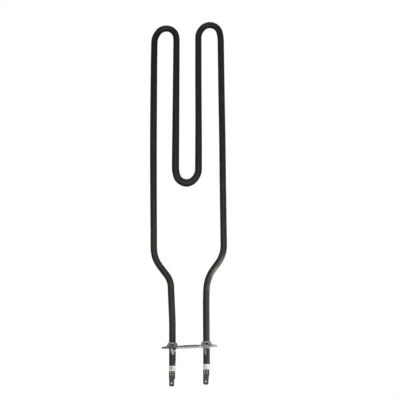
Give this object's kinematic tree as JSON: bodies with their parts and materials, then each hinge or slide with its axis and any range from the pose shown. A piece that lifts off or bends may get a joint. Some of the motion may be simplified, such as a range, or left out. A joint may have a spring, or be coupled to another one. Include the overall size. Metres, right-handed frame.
{
  "type": "tubular heating element",
  "caption": "Tubular air heating element bent into tall hairpins, with a drawn-in neck, a small mounting plate and flat tab terminals.",
  "frame": {"origin": "middle of the mounting plate's lower face, between the two tails", "axes": "+Z along the tails towards the loops, +X towards the right tail, the tube lies in the XZ plane"},
  "size_m": [0.0976, 0.027, 0.4756],
  "materials": {
    "sheath_metal": "dark oxidised",
    "plate_metal": "dull zinc plated",
    "ceramic": "matt",
    "terminal_metal": "dull",
    "pin_metal": "drawn",
    "seal_rubber": "matt",
    "coil_metal": "drawn",
    "powder": "matt"
  },
  "bodies": {
    "root": {"sheath": "sheath_metal", "mounting_plate": "plate_metal", "left_insulator": "ceramic", "right_insulator": "ceramic", "left_tab_terminal": "terminal_metal", "right_tab_terminal": "terminal_metal", "left_cold_pin": "pin_metal", "right_cold_pin": "pin_metal", "left_seal": "seal_rubber", "right_seal": "seal_rubber", "resistance_coil": "coil_metal", "insulating_powder": "powder"}
  },
  "joints": []
}
